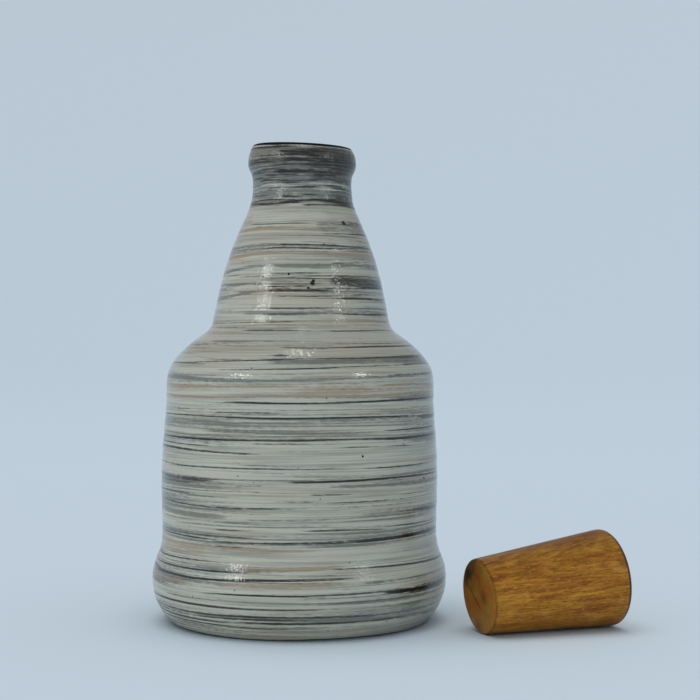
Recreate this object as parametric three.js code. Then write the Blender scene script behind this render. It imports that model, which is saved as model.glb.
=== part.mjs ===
// A wheel-thrown, glazed terracotta water bottle and its turned wooden stopper.
// The bottle stands on its flat foot: the origin is the foot's centre, +Z is up.
// The stopper is drawn from the neck and lies on its side next to the bottle,
// on the surface that the bottle stands on. Lengths are millimetres, angles degrees.
import * as THREE from "three";

// Thrown wall, outside: the rise from each key line of the profile to the next one up.
const ROLL_RISE = 17.7; // foot to the widest line of the roll above it
const WAIST_RISE = 18.3; // widest line of the roll to the waist over it
const BELLY_RISE = 22; // waist to the belly's widest line
const TAPER_RISE = 41; // belly to the springing of the shoulder
const SHOULDER_RISE = 21.1; // springing to the corner where the cone starts
const CONE_RISE = 52.9; // that corner to the corner under the neck
const NECK_RISE = 8.5; // corner under the neck to the underside of the lip
const LIP_RISE = 7; // underside of the lip to its widest line
const CREST_RISE = 7.3; // widest line of the lip to its crest

// Thrown wall, outside: the belly's radius, and how far each key line stands out or draws in.
const BELLY_RADIUS = 57.1;
const ROLL_PROUD = 3.6; // roll, out from the belly
const FOOT_DRAW = 7.7; // edge of the foot, in from the roll
const WAIST_DRAW = 0.4; // waist, in from the belly
const SHOULDER_DRAW = 1.9; // springing of the shoulder, in from the belly
const SHOULDER_STEP = 18; // foot of the cone, in from the springing

// Thrown wall, outside: how far each line leans in from the vertical.
const SHOULDER_LEAN = 56.5;
const CONE_FOOT_LEAN = 11.2;
const CONE_TOP_LEAN = 24.5;

// Thrown wall, outside: how gently each line turns into the next.
const ROLL_TUCK = 7.5; // height of the handle where the roll turns under to the foot
const SHOULDER_ROUND = 7.7; // reach of the shoulder's curve from each of its ends
const CONE_FOOT_ROUND = 3.1;
const NECK_FOOT_ROUND = 4.9;

// Clay: the thickness of the wall, the floor, the neck and the lip.
const WALL = 5;
const FLOOR = 6;
const FLOOR_CORNER = 7; // height of the round between the floor and the wall inside
const NECK_WALL = 4;
const LIP_PROUD = 1.9; // how far the lip stands out from the neck
const LIP_ROUND = 4; // rounding from the crest down into the bore
const BORE_RADIUS = 16.5; // inside of the neck, which the stopper closes

// Stopper: a plain cone of wood, and how it closes the neck.
const STOPPER_LENGTH = 58.5;
const STOPPER_TAPER = 4.8; // lean of its side from its axis
const STOPPER_SEAT_DEPTH = 18.4; // length that goes into the neck
const STOPPER_SEAT_CLEARANCE = 0.2; // play all round at the lip when it is seated
const STOPPER_NARROW_ROUND = 1.2;
const STOPPER_WIDE_ROUND = 3;

// Where the stopper lies: seen from above, angles turn from +X towards +Y.
const STOPPER_GAP = 5.1; // clear surface left between the bottle and the narrow end
const STOPPER_BEARING = -27.7; // direction from the bottle's axis to the narrow end
const STOPPER_HEADING = 20.8; // direction of the stopper's axis, narrow end to wide

// How finely the round forms are drawn: facets all round, and steps along a profile.
const BOTTLE_FACETS = 48;
const STOPPER_FACETS = 48;
const OUTSIDE_STEP = { turn: 14, length: 10 };
const INSIDE_STEP = { turn: 20, length: 16 };
const STOPPER_STEP = { turn: 30, length: STOPPER_LENGTH };
const TURN_PROBES = 32; // samples that measure how far a curve turns

// Share of a curve's rise that its two handles each reach.
const EVEN_HANDLE = 0.45;

const rollRadius = BELLY_RADIUS + ROLL_PROUD;
const footRadius = rollRadius - FOOT_DRAW;
const waistRadius = BELLY_RADIUS - WAIST_DRAW;
const shoulderRadius = BELLY_RADIUS - SHOULDER_DRAW;
const coneFootRadius = shoulderRadius - SHOULDER_STEP;
const neckRadius = BORE_RADIUS + NECK_WALL;
const lipRadius = neckRadius + LIP_PROUD;
const crestRadius = (BORE_RADIUS + lipRadius) / 2;

const waistHeight = ROLL_RISE + WAIST_RISE;
const bellyHeight = waistHeight + BELLY_RISE;
const shoulderHeight = bellyHeight + TAPER_RISE;
const coneFootHeight = shoulderHeight + SHOULDER_RISE;
const neckFootHeight = coneFootHeight + CONE_RISE;
const lipFootHeight = neckFootHeight + NECK_RISE;
const lipHeight = lipFootHeight + LIP_RISE;
const crestHeight = lipHeight + CREST_RISE;

const radians = THREE.MathUtils.degToRad;

// A point `distance` further up a line through `start` that leans in from the vertical.
function upTheLean(start, lean, distance) {
  const angle = radians(lean);
  return new THREE.Vector2(start.x - distance * Math.sin(angle), start.y + distance * Math.cos(angle));
}

// A curve that leaves and arrives upright, from the path's end to (radius, height).
function swell(path, radius, height) {
  const from = path.currentPoint;
  const reach = (height - from.y) * EVEN_HANDLE;
  path.bezierCurveTo(from.x, from.y + reach, radius, height - reach, radius, height);
}

// A curve from the path's end to `end`, drawn out towards two handles.
function sweep(path, firstHandle, secondHandle, end) {
  path.bezierCurveTo(firstHandle.x, firstHandle.y, secondHandle.x, secondHandle.y, end.x, end.y);
}

const neckCorner = new THREE.Vector2(neckRadius, neckFootHeight);
const coneTop = upTheLean(neckCorner, CONE_TOP_LEAN, -NECK_FOOT_ROUND);

// The outside of the body, from the foot's edge up to the top of the cone.
function bodyOutline() {
  const path = new THREE.Path();
  path.moveTo(footRadius, 0);
  path.quadraticCurveTo(rollRadius, ROLL_TUCK, rollRadius, ROLL_RISE);
  swell(path, waistRadius, waistHeight);
  swell(path, BELLY_RADIUS, bellyHeight);
  swell(path, shoulderRadius, shoulderHeight);

  const corner = new THREE.Vector2(coneFootRadius, coneFootHeight);
  const shoulderTop = upTheLean(corner, SHOULDER_LEAN, -CONE_FOOT_ROUND);
  const overShoulder = new THREE.Vector2(shoulderRadius, shoulderHeight + SHOULDER_ROUND);
  sweep(path, overShoulder, upTheLean(shoulderTop, SHOULDER_LEAN, -SHOULDER_ROUND), shoulderTop);

  const coneStart = upTheLean(corner, CONE_FOOT_LEAN, CONE_FOOT_ROUND);
  path.quadraticCurveTo(corner.x, corner.y, coneStart.x, coneStart.y);

  const reach = (coneTop.y - coneStart.y) * EVEN_HANDLE;
  const lowHandle = upTheLean(coneStart, CONE_FOOT_LEAN, reach);
  const highHandle = upTheLean(coneTop, CONE_TOP_LEAN, -reach);
  sweep(path, lowHandle, highHandle, coneTop);
  return path;
}

// The neck and the rolled lip, from the top of the cone over the crest and down the bore.
function neckOutline() {
  const path = new THREE.Path();
  path.moveTo(coneTop.x, coneTop.y);
  path.quadraticCurveTo(neckCorner.x, neckCorner.y, neckRadius, neckFootHeight + NECK_FOOT_ROUND);
  path.lineTo(neckRadius, lipFootHeight);
  swell(path, lipRadius, lipHeight);
  const lipSide = new THREE.Vector2(lipRadius, lipHeight + CREST_RISE * EVEN_HANDLE);
  const lipTop = new THREE.Vector2((crestRadius + lipRadius) / 2, crestHeight);
  sweep(path, lipSide, lipTop, new THREE.Vector2(crestRadius, crestHeight));
  path.quadraticCurveTo(BORE_RADIUS, crestHeight, BORE_RADIUS, crestHeight - LIP_ROUND);
  path.lineTo(BORE_RADIUS, neckFootHeight);
  return path;
}

// How far a curve turns along its length, in degrees.
function turnOf(curve) {
  let turn = 0;
  for (let i = 0; i < TURN_PROBES; i++) {
    turn += curve.getTangent(i / TURN_PROBES).angleTo(curve.getTangent((i + 1) / TURN_PROBES));
  }
  return THREE.MathUtils.radToDeg(turn);
}

// The points of a path, where no step is longer or turns further than `step` allows.
function outlinePoints(path, step) {
  const points = [path.curves[0].getPoint(0)];
  for (const curve of path.curves) {
    const steps = Math.ceil(Math.max(1, turnOf(curve) / step.turn, curve.getLength() / step.length));
    points.push(...curve.getPoints(steps).slice(1));
  }
  return points;
}

// A profile moved inwards by `distance`, square to itself at each point.
function movedIn(points, distance) {
  return points.map((point, i) => {
    const before = points[Math.max(i - 1, 0)];
    const after = points[Math.min(i + 1, points.length - 1)];
    const along = after.clone().sub(before).normalize();
    return new THREE.Vector2(point.x - along.y * distance, point.y + along.x * distance);
  });
}

// The radius of a rising profile at a height, between its two nearest points.
function radiusAt(points, height) {
  const above = points.findIndex((point) => point.y >= height);
  const low = points[above - 1];
  const high = points[above];
  return THREE.MathUtils.mapLinear(height, low.y, high.y, low.x, high.x);
}

// The inside of the body, from the foot of the bore down to the middle of the floor.
function insidePoints() {
  const wall = movedIn(outlinePoints(bodyOutline(), INSIDE_STEP), WALL);
  const cornerHeight = FLOOR + FLOOR_CORNER;
  const cornerRadius = radiusAt(wall, cornerHeight);
  const standing = wall.filter((point) => point.y > cornerHeight && point.x > BORE_RADIUS);

  const corner = new THREE.Path();
  corner.moveTo(cornerRadius, cornerHeight);
  corner.quadraticCurveTo(cornerRadius, FLOOR, cornerRadius - FLOOR_CORNER, FLOOR);
  return [...standing.reverse(), ...outlinePoints(corner, INSIDE_STEP), new THREE.Vector2(0, FLOOR)];
}

// A solid turned about +Z from a profile of (radius, height) points.
function turned(points, facets) {
  return new THREE.LatheGeometry(points, facets).rotateX(Math.PI / 2);
}

// The bottle: one piece of clay, from the foot's centre over the lip to the floor inside.
function makeBottle() {
  const body = outlinePoints(bodyOutline(), OUTSIDE_STEP);
  const neck = outlinePoints(neckOutline(), OUTSIDE_STEP).slice(1);
  const profile = [new THREE.Vector2(0, 0), ...body, ...neck, ...insidePoints()];
  const glaze = new THREE.MeshStandardMaterial({ color: 0xa9aa9f, roughness: 0.25, metalness: 0 });
  const bottle = new THREE.Mesh(turned(profile, BOTTLE_FACETS), glaze);
  bottle.name = "bottle";
  return bottle;
}

const taperSlope = Math.tan(radians(STOPPER_TAPER));
const narrowRadius = BORE_RADIUS - STOPPER_SEAT_CLEARANCE - STOPPER_SEAT_DEPTH * taperSlope;

// The stopper's profile: narrow end at height 0, with both edges eased.
function stopperOutline() {
  const sideAt = (height) => narrowRadius + height * taperSlope;
  const wideRadius = sideAt(STOPPER_LENGTH);
  const wideEase = STOPPER_LENGTH - STOPPER_WIDE_ROUND;
  const path = new THREE.Path();
  path.moveTo(0, 0);
  path.lineTo(narrowRadius - STOPPER_NARROW_ROUND, 0);
  path.quadraticCurveTo(narrowRadius, 0, sideAt(STOPPER_NARROW_ROUND), STOPPER_NARROW_ROUND);
  path.lineTo(sideAt(wideEase), wideEase);
  path.quadraticCurveTo(wideRadius, STOPPER_LENGTH, wideRadius - STOPPER_WIDE_ROUND, STOPPER_LENGTH);
  path.lineTo(0, STOPPER_LENGTH);
  return path;
}

// The stopper: one turned piece of wood, lying on a flat of its side.
function makeStopper() {
  const wood = new THREE.MeshStandardMaterial({ color: 0x8a6029, roughness: 0.4, metalness: 0 });
  const profile = outlinePoints(stopperOutline(), STOPPER_STEP);
  const stopper = new THREE.Mesh(turned(profile, STOPPER_FACETS), wood);
  stopper.name = "stopper";
  const halfFacet = Math.PI / STOPPER_FACETS;
  stopper.rotation.z = halfFacet;

  const flatLean = Math.atan(taperSlope * Math.cos(halfFacet));
  const axisHeight = narrowRadius * Math.cos(halfFacet) * Math.cos(flatLean);
  const distance = rollRadius + STOPPER_GAP + narrowRadius;
  const bearing = radians(STOPPER_BEARING);

  const lying = new THREE.Group();
  lying.add(stopper);
  lying.position.set(distance * Math.cos(bearing), distance * Math.sin(bearing), axisHeight);
  lying.rotation.order = "ZYX";
  lying.rotation.y = Math.PI / 2 - flatLean;
  lying.rotation.z = radians(STOPPER_HEADING);
  return lying;
}

const part = new THREE.Group();
part.add(makeBottle(), makeStopper());

export default part;
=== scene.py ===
import math
import random

import bmesh
import bpy
import numpy as np
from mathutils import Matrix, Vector


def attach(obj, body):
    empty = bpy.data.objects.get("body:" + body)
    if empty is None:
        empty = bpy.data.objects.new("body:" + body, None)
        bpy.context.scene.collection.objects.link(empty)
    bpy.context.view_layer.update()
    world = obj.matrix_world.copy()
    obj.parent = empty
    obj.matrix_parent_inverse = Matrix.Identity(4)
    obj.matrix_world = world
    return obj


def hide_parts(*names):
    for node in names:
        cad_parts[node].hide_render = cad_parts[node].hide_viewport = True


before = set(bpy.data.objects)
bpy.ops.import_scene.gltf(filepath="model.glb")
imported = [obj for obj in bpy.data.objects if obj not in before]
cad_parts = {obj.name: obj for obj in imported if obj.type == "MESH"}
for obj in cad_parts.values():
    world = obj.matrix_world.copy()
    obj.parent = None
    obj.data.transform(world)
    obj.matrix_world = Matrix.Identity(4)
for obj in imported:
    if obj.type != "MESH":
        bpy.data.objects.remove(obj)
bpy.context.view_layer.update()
MM = 0.001

# Bottle, the thrown wall
# One wall of earthenware thrown on a wheel, from the rolled foot up to the round lip, and cut off flat.
# The potter's fingers left fine ridges in it, and the neck leans and dips by about a millimetre.

SAME_POINT = 0.001 * MM
CENTRE_EDGES = 12
SAME_LINE = math.cos(math.radians(1))
FOOT_EASE = 0.9 * MM
FOOT_FLARE = 0.55
OUTSIDE_STEP = 0.25 * MM
INSIDE_STEP = 3 * MM
UNDERSIDE_STEP = 8 * MM
BOTTLE_AROUND = 90
AXIS_DRIFT = 1.1 * MM
DRIFT_FROM = 40 * MM
DIP_FROM = 184 * MM
DIP_RIGHT = 0.8 * MM
DIP_FRONT = 0.6 * MM
# A set of ridges is its spacing, its depth, and by how many spacings it shifts in one turn.
RIDGES = ((2.3 * MM, 0.012 * MM, 2), (3.7 * MM, 0.025 * MM, 1), (9 * MM, 0.05 * MM, -1))
RIDGES_RISE = (1 * MM, 4 * MM)
# The map for baking gives the outside four times the room of what hardly shows.
OUTSIDE_SHARE = 1
HIDDEN_SHARE = 0.25


def turned_profile(node):
    """Start, axis and (radius, height) points of a turned solid, along one line of edges to its end."""
    solid = bmesh.new()
    solid.from_mesh(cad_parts[node].data)
    bmesh.ops.remove_doubles(solid, verts=solid.verts, dist=SAME_POINT)
    centres = [corner for corner in solid.verts if len(corner.link_edges) > CENTRE_EDGES]
    start, end = sorted(centres, key=lambda corner: corner.co.length)
    axis = (end.co - start.co).normalized()

    def arm(corner):
        reach = corner.co - start.co
        return reach - axis * reach.dot(axis)

    line = [start, start.link_edges[0].other_vert(start)]
    outward = arm(line[1]).normalized()
    while line[-1] is not end:
        onward = [edge.other_vert(line[-1]) for edge in line[-1].link_edges]
        fresh = [corner for corner in onward if corner not in line]
        line.append(next(
            corner for corner in fresh
            if corner is end or arm(corner).normalized().dot(outward) > SAME_LINE
        ))
    points = np.array([(arm(corner).length, (corner.co - start.co).dot(axis)) for corner in line])
    begin = start.co.copy()
    solid.free()
    return begin, axis, points


def smooth_curve(points, spacing):
    """Points at an even spacing along a smooth curve through the given ones."""
    points = np.asarray(points, float)
    steps = np.linalg.norm(np.diff(points, axis=0), axis=1)
    reach = np.concatenate([[0], np.cumsum(steps)])
    chords = np.vstack([points[1] - points[0], points[2:] - points[:-2], points[-1] - points[-2]])
    slopes = chords / np.linalg.norm(chords, axis=1)[:, None]
    places = np.linspace(0, reach[-1], round(reach[-1] / spacing) + 1)
    left = np.clip(np.searchsorted(reach, places, side="right") - 1, 0, len(steps) - 1)
    step = steps[left][:, None]
    t = (places - reach[left])[:, None] / step
    return (
        points[left] * (2 * t**3 - 3 * t**2 + 1)
        + points[left + 1] * (3 * t**2 - 2 * t**3)
        + slopes[left] * step * (t**3 - 2 * t**2 + t)
        + slopes[left + 1] * step * (t**3 - t**2)
    )


def eased(value, low, high):
    """0 below low, 1 above high, with a smooth rise between them."""
    share = np.clip((value - low) / (high - low), 0, 1)
    return share * share * (3 - 2 * share)


def turned_skin(name, rings, start, end, unrolled):
    """A closed mesh over rings of points with a centre at each end, and a map for baking it unrolled."""
    count, around = rings.shape[:2]
    points = [*rings.reshape(-1, 3), start, end]
    first, last = count * around, count * around + 1
    faces = []
    places = []
    for step in range(around):
        after = (step + 1) % around
        middle = (step + 0.5) / around
        sides = (step / around, (step + 1) / around)
        faces.append((first, after, step))
        places += [(middle, 0), (sides[1], unrolled[0]), (sides[0], unrolled[0])]
        for ring in range(count - 1):
            low, high = ring * around, (ring + 1) * around
            faces.append((low + step, low + after, high + after, high + step))
            places += [(sides[0], unrolled[ring]), (sides[1], unrolled[ring])]
            places += [(sides[1], unrolled[ring + 1]), (sides[0], unrolled[ring + 1])]
        top = (count - 1) * around
        faces.append((top + step, top + after, last))
        places += [(sides[0], unrolled[-1]), (sides[1], unrolled[-1]), (middle, 1)]
    mesh = bpy.data.meshes.new(name)
    mesh.from_pydata(points, [], faces)
    baking_map = mesh.uv_layers.new(name="OFBake")
    baking_map.uv.foreach_set("vector", np.array(places, np.float32).ravel())
    mesh.shade_smooth()
    return mesh


*_, wall = turned_profile("bottle")
crest = wall[:, 1].argmax()
foot_radius = wall[1, 0]
foot_flat = foot_radius - FOOT_EASE
foot_turn = [(foot_flat, 0), (foot_radius + FOOT_FLARE * FOOT_EASE, FOOT_EASE)]
underside = [(radius, 0) for radius in np.arange(UNDERSIDE_STEP, foot_flat - MM, UNDERSIDE_STEP)]
outside = smooth_curve([*foot_turn, *wall[2:crest + 1]], OUTSIDE_STEP)
inside = smooth_curve(wall[crest:-1], INSIDE_STEP)[1:]
bottle_line = np.vstack([underside, outside, inside])
is_outside = np.zeros(len(bottle_line), bool)
is_outside[len(underside):len(underside) + len(outside)] = True

bearings = np.arange(BOTTLE_AROUND) * 360 / BOTTLE_AROUND - 180
turn = np.radians(bearings)[None, :]
radii = bottle_line[:, :1] + np.zeros_like(turn)
heights = bottle_line[:, 1:] + np.zeros_like(turn)
for spacing, depth, climb in RIDGES:
    swell = np.sin(2 * math.pi * heights / spacing + climb * turn)
    radii += depth * swell * is_outside[:, None] * eased(heights, *RIDGES_RISE)
drift = AXIS_DRIFT * eased(heights, DRIFT_FROM, wall[crest, 1])
dip = (DIP_RIGHT * np.sin(turn) + DIP_FRONT * np.cos(turn)) * eased(heights, DIP_FROM, wall[crest, 1])
bottle_rings = np.stack([radii * np.sin(turn) + drift, -radii * np.cos(turn), heights - dip], axis=2)

line_steps = np.linalg.norm(np.diff(bottle_line, axis=0), axis=1)
wall_length = np.concatenate([[0], np.cumsum(line_steps)])
shares = np.where(is_outside[1:], OUTSIDE_SHARE, HIDDEN_SHARE)
unrolled = np.concatenate([[0], np.cumsum(line_steps * shares)]) + UNDERSIDE_STEP * HIDDEN_SHARE
unrolled /= unrolled[-1] + INSIDE_STEP * HIDDEN_SHARE
bottle_mesh = turned_skin("glazed_bottle", bottle_rings, (0, 0, 0), (0, 0, wall[-1, 1]), unrolled)

# Bottle, the brushed slips
# Thin coloured clays brushed on in long strokes while the bottle turned, dark and dense round the lip.
# A stroke is its width in mm, how loaded the brush was, and (bearing, height) points in degrees and mm.
# Bearings are counted from the front, to the right. A stroke that leaves the front carries on out of sight.
# Some strokes paint light and shade, not slip: a band of sheen at the foot of the cone, highlights on the
# cone's left and under the crest, and the contact shadow round the foot.

DARK_STROKES_AND_SHADE = (
    (2.6, 1, (-180, 195.6), (180, 195.6)),
    (13, 0.44, (-180, 189.5), (180, 189.5)),
    (10, 0.3, (-180, 181), (180, 181)),
    (7, 0.3, (-180, 173.5), (180, 173.5)),
    (0.98, 1, (-68, 193.6), (-40, 193.5), (-14, 193.8)),
    (9, 0.64, (6, 189.8), (110, 190)),
    (8, 0.55, (36, 188), (100, 188)),
    (3, 0.6, (12, 181), (90, 180.6)),
    (8, 0.42, (34, 176.5), (110, 176)),
    (3.4, 0.45, (40, 171.6), (110, 171.4)),
    (1.2, 0.75, (-26, 191.6), (16, 191.6)),
    (0.9, 0.75, (-66, 188.9), (-30, 188.6)),
    (1.4, 0.8, (-18, 188.6), (14, 188.4)),
    (0.68, 0.7, (-52, 185.1), (-24, 185)),
    (1, 0.7, (-75, 183.6), (-34, 183.4)),
    (0.75, 0.95, (-46, 182.6), (-34, 182.6)),
    (1.6, 0.7, (-32, 184), (22, 183.8)),
    (6, 0.45, (10, 184), (100, 183.4)),
    (0.75, 0.85, (-58, 180.1), (24, 179.8)),
    (0.68, 0.9, (-26, 178.9), (0, 178.8)),
    (0.6, 0.7, (-90, 177.6), (-45, 179.2), (-20, 179)),
    (0.68, 0.8, (2, 178.3), (50, 178.2)),
    (0.6, 0.7, (-75, 174.6), (-36, 174.5)),
    (1, 0.7, (-26, 173.5), (8, 173.4)),
    (0.68, 0.8, (0, 174), (26, 173.8)),
    (0.68, 0.85, (6, 172.1), (48, 172)),
    (1.05, 0.9, (22, 171.5), (85, 171.3)),
    (0.83, 1, (-75, 170.9), (-20, 170.6), (10, 170.3)),
    (0.98, 1, (0, 170), (85, 169.8)),
    (0.6, 0.58, (-60, 162.4), (12, 162.2)),
    (1.6, 0.43, (30, 162.2), (72, 162.4)),
    (0.68, 0.58, (14, 158), (75, 158.2)),
    (0.83, 0.85, (46, 158.1), (68, 158.2)),
    (0.75, 0.66, (-85, 153.1), (-28, 152.2)),
    (0.75, 0.7, (-30, 152), (75, 152.1)),
    (0.75, 0.66, (-26, 153.2), (10, 153.3), (75, 153.2)),
    (1.6, 0.58, (16, 153.8), (40, 153.6)),
    (0.6, 0.62, (20, 154.8), (40, 154.6)),
    (0.52, 0.58, (44, 151.3), (68, 151.5)),
    (0.75, 0.7, (20, 145.8), (44, 146.6), (68, 146)),
    (0.75, 0.62, (-14, 145.5), (12, 145.5)),
    (0.68, 0.8, (-26, 141.5), (26, 141.6)),
    (0.75, 0.85, (-28, 139.8), (26, 139.8)),
    (0.6, 0.47, (-24, 138.2), (12, 138.2)),
    (5.6, 0.72, (20, 138.8), (95, 138.2)),
    (0.75, 0.66, (12, 136), (70, 136.1)),
    (0.8, 0.6, (-26, 136.6), (24, 136.6)),
    (1.6, 0.68, (-28, 134.8), (30, 134.9)),
    (0.68, 0.66, (-26, 132.9), (20, 132.9), (58, 133.2)),
    (0.68, 0.7, (36, 133.2), (54, 133.2)),
    (0.68, 0.58, (20, 131.8), (75, 131.9)),
    (1.05, 0.39, (-24, 127.8), (24, 128)),
    (0.83, 0.7, (-24, 125.7), (34, 125.7)),
    (0.5, 0.75, (-80, 122.3), (8, 122.3)),
    (0.9, 0.85, (24, 125.8), (80, 126)),
    (0.75, 0.66, (-66, 120.7), (-26, 120.5)),
    (0.68, 0.58, (-36, 119.1), (16, 119)),
    (0.68, 0.62, (14, 119), (80, 119.2)),
    (0.68, 0.7, (-19, 115), (2, 114.4)),
    (0.75, 0.95, (-10, 112.6), (10, 112.1), (50, 112.7), (75, 113.2)),
    (1.2, 1, (-13, 109.6), (4, 109.5)),
    (0.68, 0.75, (5, 108.2), (75, 109.1)),
    (0.83, 0.9, (48, 108.6), (65, 108.8)),
    (0.68, 0.8, (-80, 106.3), (-60, 106.6), (-40, 107.2), (-10, 107.6), (7, 108)),
    (0.75, 0.9, (46, 105.6), (66, 105.7)),
    (0.68, 0.95, (-38, 103.9), (0, 104.4), (20, 105), (50, 105.4)),
    (0.9, 1, (-30, 91.2), (-5, 90.9), (18, 91.3), (30, 91.7), (50, 92.2), (80, 92.4)),
    (0.75, 0.8, (-40, 87.3), (4, 87.1)),
    (0.75, 0.95, (-80, 85.8), (60, 85.4)),
    (2, 0.9, (57, 85), (70, 85)),
    (0.9, 0.95, (35, 80.2), (66, 80.2)),
    (0.8, 0.8, (-70, 77), (75, 77.2)),
    (0.9, 0.75, (-9, 77), (14, 77)),
    (0.98, 0.95, (31, 77), (66, 77)),
    (0.75, 0.8, (-78, 75), (-30, 74.4)),
    (1.05, 0.95, (-75, 72.8), (-25, 72.1), (-4, 71.7)),
    (0.6, 0.6, (13, 74), (44, 74)),
    (0.83, 0.95, (40, 74), (57, 74)),
    (1.8, 0.85, (-84, 61.4), (-28, 61.4)),
    (1.05, 0.8, (-88, 59.8), (-38, 60)),
    (1, 1, (-6, 61.3), (38, 61.8), (74, 61.6)),
    (0.68, 0.7, (33, 61), (62, 60.7)),
    (0.68, 0.6, (-26, 59.8), (-8, 59.7)),
    (0.75, 0.9, (-70, 55.6), (-36, 55.4)),
    (0.68, 0.65, (1, 56.2), (30, 56.4)),
    (0.68, 0.7, (-54, 53), (-43, 53)),
    (0.9, 0.8, (-75, 51.2), (-1, 50.8)),
    (1.7, 0.9, (51, 48), (70, 48)),
    (0.68, 0.75, (-37, 42.4), (-11, 42.4)),
    (0.75, 0.85, (2, 42.4), (44, 42.5)),
    (0.68, 0.75, (34, 42.7), (68, 42.9)),
    (0.75, 0.85, (-78, 40), (-10, 39.4)),
    (0.83, 0.9, (-82, 38.6), (-28, 38)),
    (0.75, 0.85, (-34, 37.8), (0, 38), (34, 38.2)),
    (1.6, 1, (22, 38.5), (75, 38.7)),
    (0.68, 0.7, (-12, 37.4), (34, 37.6)),
    (0.68, 0.8, (-36, 36), (-14, 36.1)),
    (0.68, 0.85, (-80, 30.5), (-62, 30.2)),
    (0.75, 0.9, (-68, 29.5), (-22, 29.7)),
    (0.83, 1, (10, 28), (30, 27.8), (80, 27.2)),
    (0.75, 0.85, (-80, 26.1), (-45, 26.6), (-8, 26.9)),
    (0.98, 1, (-85, 24.7), (-62, 23.5), (-44, 23.3), (-28, 23.7), (-12, 24.3), (24, 24.4)),
    (0.9, 1, (-24, 24.1), (0, 24.5), (24, 24.4)),
    (0.68, 0.8, (-85, 23.2), (-50, 23)),
    (0.9, 0.5, (22, 22.4), (70, 22.3)),
    (0.68, 0.75, (-78, 19.4), (-50, 19.3)),
    (0.75, 0.9, (-38, 17.8), (-10, 18.6), (10, 18.8), (44, 18.5)),
    (1.9, 1, (32, 18.2), (68, 18.1)),
    (0.75, 0.7, (42, 17), (66, 17)),
    (0.75, 0.5, (54, 19.5), (72, 19.4)),
    (0.95, 0.95, (-84, 12.8), (-30, 13.2), (18, 13.5)),
    (0.9, 0.85, (-84, 10), (40, 10.1)),
    (0.98, 0.85, (-26, 10.2), (-6, 10.2)),
    (0.9, 0.8, (-84, 8.8), (10, 9)),
    (0.9, 1, (-24, 7.5), (6, 7.6), (27, 7.7)),
    (0.83, 0.9, (30, 7.6), (48, 7.6)),
    (0.83, 0.8, (54, 7), (75, 7)),
    (0.98, 0.95, (-84, 7.4), (-18, 7.3)),
    (0.75, 0.8, (-70, 5.6), (18, 5.5)),
    (0.9, 0.6, (-70, 3.2), (-8, 3.4)),
    # Painted shade: this dark line round the very bottom of the foot is the contact shadow where the foot
    # meets the floor.
    (0.9, 0.9, (-180, 0.5), (180, 0.5)),
)
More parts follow.
